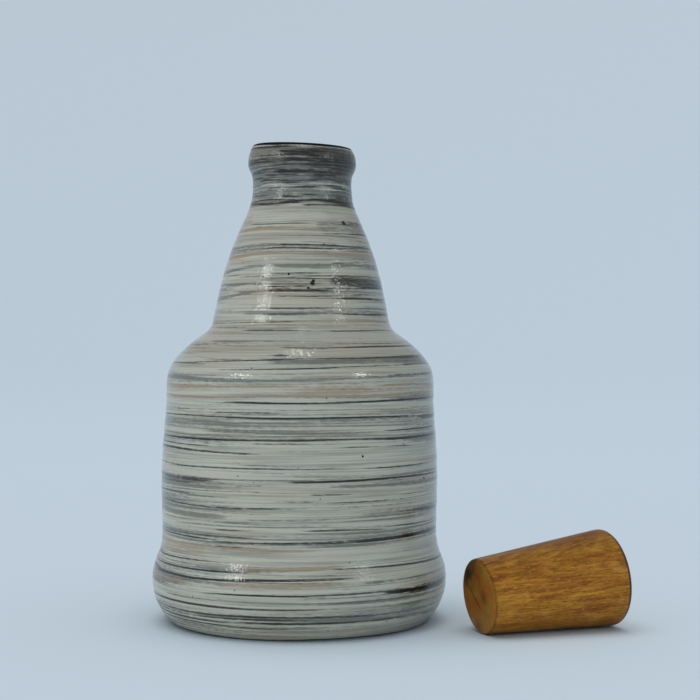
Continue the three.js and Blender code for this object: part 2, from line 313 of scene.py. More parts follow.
GREY_STROKES = (
    (7, 0.95, (-180, 192), (180, 192)),
    (9, 0.95, (-180, 186), (180, 186)),
    (7, 0.88, (-180, 180), (180, 180)),
    (6, 0.85, (-180, 175), (180, 175)),
    (2.6, 0.9, (-180, 171.6), (180, 171.2)),
    (6, 0.85, (12, 161.2), (100, 161.2)),
    (4.4, 0.6, (-85, 152), (90, 152.4)),
    (1.6, 0.85, (-85, 142.4), (-45, 144.3), (-20, 144.9), (40, 145)),
    (1.3, 0.45, (-85, 140.4), (-45, 142), (-22, 142.2)),
    (1.6, 0.35, (-85, 138), (-45, 140), (-22, 140.4)),
    (1.5, 0.7, (-85, 135.6), (-34, 138.4)),
    (1.5, 0.75, (-85, 131.4), (-44, 133.6), (-22, 134.6)),
    (9, 0.5, (-34, 137.4), (60, 137.4)),
    (6, 0.4, (-85, 134.6), (-24, 136.4)),
    (2.8, 0.6, (-16, 144.4), (70, 144.8)),
    (4, 0.55, (40, 128.4), (100, 128.4)),
    (2.4, 0.6, (-40, 125.8), (90, 126)),
    (4.6, 0.95, (20, 138.4), (85, 138.3)),
    (1, 0.7, (-48, 134.9), (-23, 134.7)),
    (1, 0.7, (-75, 132.5), (-56, 132.5)),
    (1.4, 0.45, (-75, 127.4), (-33, 127.2)),
    (1.2, 0.6, (-53, 115.1), (-18, 115)),
    (1, 0.7, (-80, 110.5), (-48, 110.5)),
    (2.8, 0.8, (-16, 107), (75, 106.7)),
    (3, 0.5, (40, 108), (95, 108)),
    (3.6, 0.62, (40, 92), (95, 92.4)),
    (4, 0.5, (-90, 99.6), (26, 99.6)),
    (1.3, 0.7, (-75, 100.5), (-30, 99.6), (0, 100), (30, 101), (75, 102)),
    (1, 0.5, (10, 87), (70, 87)),
    (2, 0.5, (-90, 88), (-30, 88)),
    (12, 0.38, (-90, 81.5), (95, 81.5)),
    (14, 0.36, (44, 79), (105, 79)),
    (4, 0.52, (-84, 83), (-20, 83)),
    (1.4, 0.8, (-46, 83.2), (-12, 82.8)),
    (1, 0.7, (-10, 79.7), (39, 79.8)),
    (4.6, 0.5, (-90, 75.4), (-20, 75)),
    (3, 0.6, (50, 76), (100, 76)),
    (1, 0.6, (-24, 67.3), (34, 67.3)),
    (1, 0.6, (-72, 66.5), (-23, 66.5)),
    (1.6, 0.42, (-90, 64.4), (-30, 64.4)),
    (1.4, 0.5, (-7, 63.3), (64, 63.3)),
    (1, 0.55, (34, 62.9), (66, 63)),
    (1.5, 0.7, (13, 59.2), (70, 59.2)),
    (1.4, 0.7, (-72, 58), (-23, 58)),
    (5, 0.45, (-90, 55), (-32, 55)),
    (5, 0.7, (-90, 51.6), (-16, 51.6)),
    (5, 0.5, (-90, 48), (-20, 48)),
    (4, 0.46, (-90, 60), (90, 60)),
    (4, 0.5, (-90, 60.4), (-20, 60.2)),
    (5, 0.5, (-90, 40.4), (95, 40.2)),
    (4, 0.52, (-90, 36.6), (-14, 36.6)),
    (5, 0.56, (-90, 27.6), (10, 27.8)),
    (4, 0.66, (24, 48), (95, 47.6)),
    (3.4, 0.56, (16, 16), (95, 16)),
    (5, 0.62, (-90, 23.4), (-20, 23.4)),
    (8, 0.4, (40, 9.6), (100, 9.6)),
    (4, 0.3, (-180, 3), (180, 3)),
    (1.4, 0.7, (-65, 47.8), (-23, 47.6)),
    (1, 0.65, (-22, 46.7), (32, 46.7)),
    (1, 0.6, (-32, 45), (-8, 45)),
    (1.6, 0.6, (-13, 37.5), (8, 37.5)),
    (1, 0.7, (3, 37), (64, 37)),
    (1.6, 0.5, (-75, 31), (-18, 31)),
    (1, 0.5, (27, 30), (60, 30)),
    (1.3, 0.45, (23, 22.4), (56, 22.4)),
    (2.6, 0.4, (-90, 20.6), (-40, 20.6)),
    (3, 0.45, (-90, 18.5), (-40, 18.5)),
    (9, 0.56, (-95, 9.6), (60, 9.6)),
    (1, 0.7, (-75, 19.3), (-53, 19.3)),
)
TAN_STROKES = (
    (10, 0.2, (-180, 188), (180, 188)),
    (2.4, 0.5, (-66, 191.4), (-14, 191.2)),
    (2.4, 0.5, (36, 177), (70, 177)),
    (1, 0.6, (-74, 175.6), (-30, 175.4)),
    (1.5, 0.95, (-64, 160), (-30, 160.2), (48, 160)),
    (1, 0.5, (-17, 156.2), (37, 156.2)),
    (1, 0.5, (-65, 155.5), (-8, 155.5)),
    (1, 0.5, (18, 151.7), (70, 151.7)),
    (1.7, 0.95, (-72, 149.2), (-40, 149.9), (75, 150)),
    (0.9, 0.6, (-72, 148.8), (-48, 148.8)),
    (3, 0.45, (-24, 137.2), (22, 137.4)),
    (1.1, 0.8, (-32, 135), (8, 135)),
    (1.2, 0.7, (-95, 123), (95, 123)),
    (0.8, 0.7, (-95, 121.2), (95, 121.2)),
    (1, 0.5, (-70, 118), (32, 118)),
    (2.6, 0.45, (-17, 114.2), (32, 114.2)),
    (1, 0.7, (-72, 112.3), (-33, 112.3)),
    (1, 0.6, (-65, 111), (-18, 111)),
    (5.4, 0.58, (-90, 96.6), (38, 96.8)),
    (1, 0.65, (-75, 97.5), (2, 97.5)),
    (1, 0.8, (34, 97.6), (78, 97.8)),
    (5, 0.55, (-3, 95.9), (75, 96.4)),
    (1.1, 1, (-80, 93), (0, 93.7), (78, 94.4)),
    (2.2, 0.5, (-28, 74), (-2, 74)),
    (1.2, 0.7, (-6, 55.8), (5, 55.8)),
    (1.1, 0.7, (6, 50.8), (40, 50.8)),
    (2.2, 0.6, (-78, 49), (-53, 49)),
    (3, 0.9, (-80, 34.6), (-28, 34.8)),
    (1, 0.7, (-34, 36), (-2, 36)),
    (0.9, 0.7, (-36, 35.2), (20, 35.1)),
    (2.4, 0.8, (-80, 32.5), (-30, 32.5)),
    (2.1, 0.95, (-26, 28.2), (22, 28.3)),
    (2.1, 0.85, (-34, 22), (0, 22.4), (28, 22.3)),
    (3.4, 1, (-84, 21.2), (-36, 21.3)),
    (2.2, 0.4, (44, 20.8), (64, 20.8)),
    (2.2, 0.6, (-55, 4), (75, 4)),
    (1.4, 0.6, (-180, 1.9), (180, 1.9)),
)
PALE_STROKES_AND_SHEEN = (
    # Partly painted highlight: these pale flecks under the crest are pale slip together with the glints on
    # the round of the lip.
    (0.9, 0.62, (-75, 194.5), (-20, 194.4)),
    (0.8, 0.5, (-16, 194.4), (24, 194.4)),
    (0.9, 0.5, (14, 194.4), (80, 194.5)),
    (7, 0.75, (-60, 165), (36, 165)),
    (2, 0.5, (-90, 95), (50, 95.4)),
    # Partly painted highlight: this pale band on the left of the cone lies where the left strip's highlight
    # falls.
    (2.6, 0.8, (-85, 128.6), (-14, 128.8)),
    # Painted sheen: these pale bands at the bend between cone and shoulder stand for light falling on its
    # upturned surface.
    (3, 0.85, (-180, 116.4), (180, 116.2)),
    (3.4, 1, (8, 116.4), (80, 116.6)),
    (2.4, 0.6, (-90, 103.2), (40, 103.4)),
    (2.4, 0.75, (-90, 80), (-30, 80)),
    (2.2, 0.45, (-90, 68.4), (-24, 68.2)),
    (2.4, 0.7, (14, 29.4), (80, 29.2)),
    (2, 0.5, (24, 20.6), (80, 20.4)),
    (1.8, 0.3, (-38, 181.2), (26, 181)),
    (0.9, 0.4, (6, 179.1), (70, 179.2)),
    (6, 0.42, (-110, 185.5), (-20, 185.5)),
    (6, 0.48, (-110, 178.5), (-16, 178.5)),
    (2.2, 0.55, (-24, 176.8), (14, 176.6)),
    (2.2, 0.45, (10, 176.6), (50, 176.4)),
    (2.2, 0.35, (16, 176.8), (50, 176.6)),
    (2, 0.3, (-80, 177), (-16, 177)),
    (0.8, 0.55, (-60, 171.8), (-14, 171.6)),
    (0.7, 0.45, (28, 172.6), (66, 172.6)),
)
# A combed band is its lowest and highest mm, its first and last bearing, and the number of lines in it.
COMBED_BANDS = (
    (133.5, 142, -34, 80, 9),
    (151, 154.5, -90, 90, 3),
    (75, 88, -95, 95, 16),
    (45.5, 57, -95, -20, 8),
    (45.5, 50, 10, 95, 4),
    (36, 43, -95, 95, 6),
    (15, 24, -95, 95, 6),
    (3, 13, -95, 95, 8),
)
# The brush comes down and lifts over these bearings round a stroke's ends, where its tip draws narrower.
BRUSH_DOWN = (-5, 8)
BRUSH_LIFT = (-18, 10)
BRUSH_TIP = 0.4
# Slow waves, so many in a turn, move a stroke by up to this many mm and change the brush's pressure.
WAVES = (2, 3, 4, 5)
WAVER = 0.22
PRESSURE = (0.92, 0.16)
# A stroke wider than this many mm is a wash with soft edges.
WASH_WIDTH = 2.5
SOFT_EDGE = 2
CRISP_EDGE = 4
# A stroke that ends past this bearing carries on by so many degrees, and climbs or falls by so many mm.
FRONT_EDGE = 60
CARRY_ON = (20, 75)
CARRY_CLIMB = (-0.6, 0.6)
# The finer strokes of the same hand: heights, climbs and widths in mm, bearings and lengths in degrees.
WALL_BAND = (4, 168)
NECK_BAND = (170, 194)
LIP_BAND = (183.5, 194)
BACK_STARTS = (80, 215)
ALL_ROUND = (-180, 180)
MIXED_LENGTHS = (18, 110)
LONG_LENGTHS = (30, 140)
STROKE_CLIMB = (-0.8, 0.8)
COMB_CLIMB = (-0.5, 0.5)
WIDTHS = (0.5, 0.6, 0.7, 0.9)
HEAVY = (0.5, 0.95)
MEDIUM = (0.35, 0.65)
FAINT = (0.28, 0.55)
hand = random.Random(7)


def carried_on(strokes):
    """The strokes as brushed: those that reach the edge of the front run on round the side."""
    for width, load, *path in strokes:
        (first, first_height), (last, last_height) = path[0], path[-1]
        if -180 < first < -FRONT_EDGE:
            path = [(first - hand.uniform(*CARRY_ON), first_height + hand.uniform(*CARRY_CLIMB)), *path]
        if FRONT_EDGE < last < 180:
            path = [*path, (last + hand.uniform(*CARRY_ON), last_height + hand.uniform(*CARRY_CLIMB))]
        yield width, load, path


def more_strokes(count, band, starts, lengths, loads):
    """Strokes of the same hand, at random heights in a band and of random lengths in degrees."""
    for _ in range(count):
        height = hand.uniform(*band)
        first = hand.uniform(*starts)
        last = first + hand.uniform(*lengths)
        width, load = hand.choice(WIDTHS), hand.uniform(*loads)
        yield width, load, [(first, height), (last, height + hand.uniform(*STROKE_CLIMB))]


def combed(bands):
    """Fine lines side by side, as a dry brush leaves them, in bands of the front."""
    for low, high, first, last, count in bands:
        middle = (first + last) / 2
        for _ in range(count):
            height = hand.uniform(low, high)
            begin, end = hand.uniform(first, middle), hand.uniform(middle, last)
            width, load = hand.choice(WIDTHS), hand.uniform(*MEDIUM)
            yield width, load, [(begin, height), (end, height + hand.uniform(*COMB_CLIMB))]


def brushed(strokes, ring_heights):
    """How much slip lies at each point of the outside, after all the strokes."""
    load = np.zeros((len(ring_heights), BOTTLE_AROUND))
    for width, weight, path in strokes:
        path_bearings, path_heights = np.array(path, float).T
        first, last = path_bearings[0], path_bearings[-1]
        begin = first + BRUSH_DOWN[0]
        along = (bearings - begin) % 360 + begin
        down = eased(along, begin, first + BRUSH_DOWN[1])
        lift = 1 - eased(along, last + BRUSH_LIFT[0], last + BRUSH_LIFT[1])
        ends = 1 if last - first >= 360 else down * lift
        sway, swell = (
            np.sin(hand.choice(WAVES) * np.radians(bearings) + hand.uniform(0, 2 * math.pi))
            for _ in range(2)
        )
        centre = np.interp(along, path_bearings, path_heights) + WAVER * sway
        half_width = width / 2 * (BRUSH_TIP + (1 - BRUSH_TIP) * ends)
        across = (ring_heights[:, None] - centre) / half_width
        pressed = np.minimum(1, weight * (PRESSURE[0] + PRESSURE[1] * swell))
        edge = SOFT_EDGE if width > WASH_WIDTH else CRISP_EDGE
        load = 1 - (1 - load) * (1 - pressed * ends * np.exp(-across**edge))
    return load


outside_heights = outside[:, 1] / MM
slips = {
    slip: [
        *carried_on(front),
        *more_strokes(back_count, WALL_BAND, BACK_STARTS, MIXED_LENGTHS, HEAVY),
        *more_strokes(neck_count, NECK_BAND, ALL_ROUND, LONG_LENGTHS, MEDIUM),
        *more_strokes(lip_count, LIP_BAND, ALL_ROUND, LONG_LENGTHS, MEDIUM),
        *more_strokes(faint_count, WALL_BAND, ALL_ROUND, LONG_LENGTHS, FAINT),
        *combed(bands),
    ]
    for slip, front, back_count, neck_count, lip_count, faint_count, bands in (
        ("tan_slip", TAN_STROKES, 45, 10, 4, 130, ()),
        ("grey_slip", GREY_STROKES, 55, 30, 0, 340, COMBED_BANDS),
        ("dark_slip_and_shade", DARK_STROKES_AND_SHADE, 80, 50, 30, 190, ()),
        ("pale_slip_and_sheen", PALE_STROKES_AND_SHEEN, 20, 10, 0, 220, ()),
    )
}
for slip, strokes in slips.items():
    loads = np.zeros(bottle_rings.shape[:2])
    loads[is_outside] = brushed(strokes, outside_heights)
    layer = bottle_mesh.attributes.new(slip, "FLOAT", "POINT")
    layer.data.foreach_set("value", np.append(loads.ravel(), [0, 0]).astype(np.float32))
lengths = np.repeat(wall_length, BOTTLE_AROUND)
layer = bottle_mesh.attributes.new("wall_length", "FLOAT", "POINT")
layer.data.foreach_set("value", np.append(lengths, [0, wall_length[-1]]).astype(np.float32))

# Bottle, the glaze
# A clear glaze over the slips, fired glossy and a little uneven, so that highlights break up into sparkles.
# The crest of the lip is bare black slip, the inside has a plain dark glaze, and the foot was wiped bare.

CREAM = "#9ca298"
WARM_CREAM = "#9c998c"
HAIR_GREY = "#73736c"
HAIR_BROWN = "#6c6256"
STRAND_SHARE = 0.68
HAIR_SHARE = 0.52
HAIRS_FROM = 0.45
# A coat is its slip, its tint in cool and in warm places, the loads between which it comes to cover the
# ground, and how much it hides. The dark slip turns black where it lies thick.
SLIP_COATS = (
    ("tan_slip", "#7a6c56", "#7c6850", 0, 0.8, 0.78),
    ("grey_slip", "#4d5454", "#54554f", 0, 0.72, 0.82),
    ("dark_slip_and_shade", "#32383a", "#3b3832", 0, 0.55, 0.88),
    ("dark_slip_and_shade", "#0d1013", "#100f0f", 0.38, 0.9, 0.94),
    ("pale_slip_and_sheen", "#a2a79d", "#a2a297", 0, 0.7, 0.75),
)
# Bristles and dry spots leave gaps in a coat, and a full brush closes them.
BRISTLE_GAPS = 0.6
DASH_GAPS = 0.4
FULL_BRUSH = 1.5
SPECK_BLACK = "#0c0d0d"
CREST_BLACK = "#030608"
CREST_GREY = "#101518"
CREST_DEPTH = 1 * MM
INSIDE_GLAZE = "#2a2724"
INSIDE_DARK = "#171614"
INSIDE_POOL = 12 * MM
INSIDE_SHINE = (0.15, 0.35)
BARE_CLAY = "#a4683f"
BARE_CLAY_PALE = "#b98a63"
GROG = 1.2 * MM
# The wave pattern of the wire marks repeats about three times in this length.
WIRE_MARKS = 9 * MM
WIRE_DRAG = 0.6
CLAY_RELIEF = 0.2 * MM
# The marks of the brush, by length and height. Real bristles leave finer lines, too fine to show here.
BRISTLE = (60 * MM, 0.54 * MM)
STRAND = (45 * MM, 1.4 * MM)
CLOUD = (50 * MM, 12 * MM)
DASH = (3 * MM, 0.55 * MM)
GRAIN = 0.7 * MM
# The noise behind all marks lies mostly between these values.
NOISE_SPREAD = (0.3, 0.7)
# The glaze's peel is drawn coarser than the real one, so that its sparkle shows. It is less low on the wall.
PEEL = 1.1 * MM
PEEL_DEPTH = 0.16 * MM
PEEL_RISE = (30 * MM, 80 * MM)
PEEL_LOW = 0.6
HAIR_DEPTH = 0.08
# The glaze is duller over the dense slips of the neck and on the roll: from, to, and the added roughness.
SHINE = (0.05, 0.1)
DULLED = ((168 * MM, 173 * MM, 0.17), (60 * MM, 30 * MM, 0.13))
PIT_SPACING = 6.5 * MM
PIT_SHARE = (0.028, 0.055)
# A speck of iron in the glaze is its bearing, its height in mm and its radius in mm.
SPECKS = (
    (44, 162.7, 1),
    (9.2, 137.9, 1),
    (10, 138.8, 0.7),
    (6.4, 135.8, 0.6),
    (-7, 141.6, 0.5),
    (27, 70.7, 0.6),
    (62, 60.5, 0.7),
)
SPECK_CORE = 0.8
SPECK_UNEVENNESS = 0.9 * MM


def linear(code):
    """A linear colour from an sRGB hex value."""
    channels = [int(code[place:place + 2], 16) / 255 for place in (1, 3, 5)]
    return (*[c / 12.92 if c <= 0.04045 else ((c + 0.055) / 1.055) ** 2.4 for c in channels], 1)


def add(tree, kind, inputs=(), **settings):
    """Add a node with its settings, and give its inputs constants, sockets or other nodes' first outputs."""
    made = tree.nodes.new("ShaderNode" + kind)
    for name, value in settings.items():
        setattr(made, name, value)
    for place, value in dict(inputs).items():
        if isinstance(value, bpy.types.Node):
            value = value.outputs[0]
        if isinstance(value, bpy.types.NodeSocket):
            tree.links.new(value, made.inputs[place])
        else:
            made.inputs[place].default_value = value
    return made


def blank_material(name):
    """A new material with an empty node tree."""
    material = bpy.data.materials.new(name)
    material.use_nodes = True
    material.node_tree.nodes.clear()
    return material, material.node_tree


# Slip under clear glaze: streaks run round the wall, loaded strokes hide the cream ground, dry ones let it
# through, a few pits and specks are black, and a hard shine lies over it all.
glaze, tree = blank_material("brushed_slip_under_clear_glaze")
place = add(tree, "TexCoord").outputs["Object"]
sides = add(tree, "SeparateXYZ", {0: place})
length = add(tree, "Attribute", attribute_name="wall_length").outputs["Fac"]
on_wall = add(tree, "CombineXYZ", {"X": sides.outputs["X"], "Y": sides.outputs["Y"], "Z": length})


def streaks(size, seed):
    """Marks drawn out round the wall, of the given length and height, spread over 0 to 1."""
    scale = (1 / size[0], 1 / size[0], 1 / size[1])
    spread = add(tree, "VectorMath", {0: on_wall, 1: scale}, operation="MULTIPLY")
    noise = add(
        tree, "TexNoise", {"Vector": spread, "W": seed, "Scale": 1, "Detail": 2}, noise_dimensions="4D"
    )
    return add(tree, "MapRange", {"Value": noise, "From Min": NOISE_SPREAD[0], "From Max": NOISE_SPREAD[1]})


hairs = streaks(BRISTLE, 1)
strands = streaks(STRAND, 2)
clouds = streaks(CLOUD, 3)
grain_noise = add(tree, "TexNoise", {"Vector": place, "Scale": 1 / GRAIN, "Detail": 1})
dashes = streaks(DASH, 4)
colour = add(tree, "MixRGB", {"Fac": clouds, "Color1": linear(CREAM), "Color2": linear(WARM_CREAM)})
for marks, tint, most in ((strands, HAIR_GREY, STRAND_SHARE), (hairs, HAIR_BROWN, HAIR_SHARE)):
    share = add(tree, "MapRange", {"Value": marks, "From Min": HAIRS_FROM, "To Max": most})
    colour = add(tree, "MixRGB", {"Fac": share, "Color1": colour, "Color2": linear(tint)})
for seed, (slip, cool, warm, dry, wet, most) in enumerate(SLIP_COATS):
    load = add(tree, "Attribute", attribute_name=slip).outputs["Fac"]
    bristles = streaks(BRISTLE, 5 + seed)
    gaps = add(tree, "Math", {0: bristles, 1: BRISTLE_GAPS}, operation="MULTIPLY")
    gaps = add(tree, "Math", {0: dashes, 1: DASH_GAPS, 2: gaps}, operation="MULTIPLY_ADD")
    laid = add(tree, "Math", {0: load, 1: FULL_BRUSH}, operation="MULTIPLY")
    left = add(tree, "Math", {0: laid, 1: gaps}, operation="SUBTRACT")
    cover = add(
        tree, "MapRange", {"Value": left, "From Min": dry, "From Max": wet, "To Max": most},
        interpolation_type="SMOOTHSTEP",
    )
    tint = add(tree, "MixRGB", {"Fac": clouds, "Color1": linear(cool), "Color2": linear(warm)})
    colour = add(tree, "MixRGB", {"Fac": cover, "Color1": colour, "Color2": tint})
pits = add(tree, "TexVoronoi", {"Vector": place, "Scale": 1 / PIT_SPACING})
flecks = add(tree, "MapRange", {
    "Value": pits, "From Min": PIT_SHARE[0], "From Max": PIT_SHARE[1], "To Min": 1, "To Max": 0,
})
wobble = add(tree, "VectorMath", {0: grain_noise.outputs["Color"], 1: [0.5] * 3}, operation="SUBTRACT")
wobble = add(tree, "VectorMath", {0: wobble, 1: [SPECK_UNEVENNESS] * 3, 2: place}, operation="MULTIPLY_ADD")
for bearing, height, size in SPECKS:
    ring = len(underside) + abs(outside_heights - height).argmin()
    spot = [np.interp(bearing, bearings, bottle_rings[ring, :, side]) for side in range(3)]
    apart = add(tree, "VectorMath", {0: wobble, 1: spot}, operation="DISTANCE").outputs["Value"]
    speck = add(tree, "MapRange", {
        "Value": apart, "From Min": SPECK_CORE * size * MM, "From Max": size * MM, "To Min": 1, "To Max": 0,
    })
    flecks = add(tree, "Math", {0: flecks, 1: speck}, operation="MAXIMUM")
flecked = add(tree, "MixRGB", {"Fac": flecks, "Color1": colour, "Color2": linear(SPECK_BLACK)})
peel = add(tree, "TexNoise", {"Vector": place, "Scale": 1 / PEEL, "Detail": 1})
peel_share = add(tree, "MapRange", {
    "Value": sides.outputs["Z"], "From Min": PEEL_RISE[0], "From Max": PEEL_RISE[1], "To Min": PEEL_LOW,
})
peel = add(tree, "Math", {0: peel, 1: peel_share}, operation="MULTIPLY")
relief = add(tree, "Math", {0: hairs, 1: HAIR_DEPTH, 2: peel}, operation="MULTIPLY_ADD")
surface = add(tree, "Bump", {"Height": relief, "Strength": 1, "Distance": PEEL_DEPTH})
gloss = add(tree, "MapRange", {"Value": strands, "To Min": SHINE[0], "To Max": SHINE[1]})
for glossy, dull, most in DULLED:
    haze = add(tree, "MapRange", {
        "Value": sides.outputs["Z"], "From Min": glossy, "From Max": dull, "To Max": most,
    })
    gloss = add(tree, "Math", {0: gloss, 1: haze}, operation="ADD")
shader = add(tree, "BsdfPrincipled", {
    "Base Color": flecked, "Roughness": gloss, "IOR": 1.5, "Normal": surface,
})
add(tree, "OutputMaterial", {"Surface": shader})

# Bare slip that no glaze covers: matt and nearly black, so that the crest shows as one dark line.
bare_slip, tree = blank_material("bare_black_slip")
place = add(tree, "TexCoord").outputs["Object"]
worn = add(tree, "TexNoise", {"Vector": place, "Scale": 1 / GRAIN, "Detail": 2})
tone = add(tree, "MixRGB", {"Fac": worn, "Color1": linear(CREST_BLACK), "Color2": linear(CREST_GREY)})
shader = add(tree, "BsdfPrincipled", {"Base Color": tone, "Roughness": 0.6, "Specular IOR Level": 0.05})
add(tree, "OutputMaterial", {"Surface": shader})

# A dark glaze poured in and drained: brown pools with a half shine, which leave the mouth nearly black.
inner_glaze, tree = blank_material("dark_inner_glaze")
place = add(tree, "TexCoord").outputs["Object"]
pooled = add(tree, "TexNoise", {"Vector": place, "Scale": 1 / INSIDE_POOL, "Detail": 3})
tone = add(tree, "MixRGB", {"Fac": pooled, "Color1": linear(INSIDE_GLAZE), "Color2": linear(INSIDE_DARK)})
gloss = add(tree, "MapRange", {"Value": pooled, "To Min": INSIDE_SHINE[0], "To Max": INSIDE_SHINE[1]})
shader = add(tree, "BsdfPrincipled", {"Base Color": tone, "Roughness": gloss, "IOR": 1.5})
add(tree, "OutputMaterial", {"Surface": shader})

# Fired clay without glaze: matt, warm and sandy, with the rings that the cutting wire dragged in it.
bare_clay, tree = blank_material("bare_fired_earthenware")
place = add(tree, "TexCoord").outputs["Object"]
grog = add(tree, "TexNoise", {"Vector": place, "Scale": 1 / GROG, "Detail": 4})
tone = add(tree, "MixRGB", {"Fac": grog, "Color1": linear(BARE_CLAY), "Color2": linear(BARE_CLAY_PALE)})
wire_marks = add(
    tree, "TexWave", {"Vector": place, "Scale": 1 / WIRE_MARKS, "Distortion": 3, "Detail": 1},
    wave_type="RINGS",
)
drag = add(tree, "Math", {0: wire_marks, 1: WIRE_DRAG, 2: grog}, operation="MULTIPLY_ADD")
surface = add(tree, "Bump", {"Height": drag, "Strength": 0.6, "Distance": CLAY_RELIEF})
shader = add(tree, "BsdfPrincipled", {"Base Color": tone, "Roughness": 0.85, "Normal": surface})
add(tree, "OutputMaterial", {"Surface": shader})

for material in (glaze, inner_glaze, bare_clay, bare_slip):
    bottle_mesh.materials.append(material)
GLAZED, INSIDE, BARE, CREST = range(4)
band_materials = np.where(is_outside[1:], GLAZED, INSIDE)
band_materials[:len(underside)] = BARE
band_materials[bottle_line[1:, 1] > wall[crest, 1] - CREST_DEPTH] = CREST
face_materials = np.tile([BARE, *band_materials, INSIDE], BOTTLE_AROUND)
bottle_mesh.polygons.foreach_set("material_index", face_materials.astype(np.int32))
bottle = bpy.data.objects.new("glazed_bottle", bottle_mesh)
bpy.context.scene.collection.objects.link(bottle)
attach(bottle, "bottle")
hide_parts("bottle")

# Stopper
# A tapered plug turned from one block of dense brown hardwood, sanded, and varnished golden brown.
# It seats narrow end first in the bore of the neck, and here it lies on its side by the bottle.

STOPPER_STEP = 0.7 * MM
STOPPER_AROUND = 112
FACE_STEP = 3 * MM
# The lathe left its side out of round by about a hundredth of a mm, in lobes and in a slow twist.
LOBES = 0.012 * MM
TWIST = 0.01 * MM
TWIST_LENGTH = 9 * MM
UNEVEN_RADII = (8 * MM, 14 * MM)
WOOD_GOLD = "#b57e24"
WOOD_BROWN = "#965c1a"
WOOD_DARK = "#44270b"
END_GOLD = "#987026"
END_ORANGE = "#9c5a1c"
END_DEEP_ORANGE = "#8a4a10"
END_DARK = "#221c0a"
EDGE_SHADE_BROWN = "#2b1c10"
# A kind of mark is its width and its length along the grain, the noise between which it comes in, how much
# it hides, and its tint. Real fibres and pores are finer, and are drawn this wide so that they show.
WOOD_MARKS = (
    ("patch", 2.6 * MM, 22 * MM, 0.45, 0.95, 0.75, "#6a3512"),
    ("straw", 4.5 * MM, 10 * MM, 0.6, 1, 0.36, "#bd8d3c"),
    ("fibre", 0.55 * MM, 16 * MM, 0.3, 1, 0.36, WOOD_DARK),
    # The pale flecks are painted highlights: small glints of light on the varnish.
    ("fleck", 0.6 * MM, 2 * MM, 0.68, 1, 0.38, "#c0924c"),
    ("pore", 0.45 * MM, 2.8 * MM, 0.62, 0.92, 0.6, WOOD_DARK),
)
GRAIN_RELIEF = 0.08 * MM
VARNISH_SHINE = (0.34, 0.48)
# The year rings are counted from the pith, which lay outside the block, and a slow figure bends them.
FIGURE = (6 * MM, 50 * MM)
PITH = Vector((-40 * MM, 47.6 * MM, 0))
RUN_OUT = (1, 1, 0.06)
RING_SPACING = 1.2 * MM
YEAR = (0.5, 1)
LATE_WOOD = (0.4, 0.95, 0.42)
FACE_PATCH = 7 * MM
PATCH_SPREAD = (0.35, 0.65)
FACE_DEPTH = (0.1 * MM, 0.4 * MM)
# A dark or orange patch on the narrow face is its middle, its core, its reach and how much it hides.
DARK_PATCHES = (
    (Vector((5 * MM, 11.5 * MM, 0)), 6 * MM, 12 * MM, 0.72),
    (Vector((8 * MM, 7 * MM, 0)), 2 * MM, 5 * MM, 0.85),
    (Vector((11 * MM, 4 * MM, 0)), 1 * MM, 4 * MM, 0.6),
    (Vector((-4.5 * MM, 1 * MM, 0)), 2 * MM, 5 * MM, 0.55),
    (Vector((2 * MM, -12 * MM, 0)), 1 * MM, 5 * MM, 0.5),
)
ORANGE_PATCHES = (
    (Vector((-1 * MM, 6.5 * MM, 0)), 2 * MM, 6 * MM, 0.7),
    (Vector((5 * MM, -4 * MM, 0)), 1 * MM, 5 * MM, 0.7),
)
# A check, the crack of drying, crosses that face.
CHECK_MIDDLE = Vector((4.7 * MM, 0, 0))
CHECK_ACROSS = Vector((0.643, -0.764, 0))
CHECK_LENGTH = 16 * MM
CHECK_WIDTH = 1.4 * MM
CHECK_TAPER = 0.35
CHECK_SHARE = 0.9
END_PORE = 0.7 * MM
END_PORES = (0.5, 0.75, 0.45)
# The side is painted darker near each end: at the wide end this is painted shade, the shaded side of its
# rounded edge, and at the narrow end a dark line beside the face. It is dark up to the first depth, fades
# out at the second, and hides so much.
EDGE_SHADES = {"narrow": (0.6 * MM, 1.5 * MM, 0.5), "wide": (1.5 * MM, 2.1 * MM, 0.9)}

tip, grain_line, plug = turned_profile("stopper")
plug_line = smooth_curve(plug[1:-1], STOPPER_STEP)
face_rings = {
    end: [(radius, height) for radius in np.arange(FACE_STEP, full - MM, FACE_STEP)]
    for end, full, height in (("narrow", plug_line[0, 0], 0), ("wide", plug_line[-1, 0], plug[-1, 1]))
}
plug_line = np.vstack([face_rings["narrow"], plug_line, face_rings["wide"][::-1]])
turn = np.linspace(0, 2 * math.pi, STOPPER_AROUND, endpoint=False)[None, :]
unevenness = LOBES * np.sin(3 * turn + 1) + TWIST * np.sin(5 * turn + plug_line[:, 1:] / TWIST_LENGTH)
radii = plug_line[:, :1] + unevenness * eased(plug_line[:, :1], *UNEVEN_RADII)
plug_heights = plug_line[:, 1:] + np.zeros_like(turn)
plug_rings = np.stack([radii * np.sin(turn), -radii * np.cos(turn), plug_heights], axis=2)
plug_steps = np.linalg.norm(np.diff(plug_line, axis=0), axis=1)
unrolled = np.concatenate([[0], np.cumsum(plug_steps)]) + FACE_STEP
unrolled /= unrolled[-1] + FACE_STEP
sideways = Vector((0, 0, 1)).cross(grain_line).normalized()
overhead = grain_line.cross(sideways)
lying = np.array([sideways, overhead, grain_line])
plug_ends = np.array([(0, 0, 0), (0, 0, plug[-1, 1])])
billet = np.vstack([plug_rings.reshape(-1, 3), plug_ends])
stopper_mesh = turned_skin(
    "varnished_stopper", plug_rings @ lying + np.array(tip), *(plug_ends @ lying + np.array(tip)), unrolled
)
layer = stopper_mesh.attributes.new("billet", "FLOAT_VECTOR", "POINT")
layer.data.foreach_set("vector", billet.astype(np.float32).ravel())

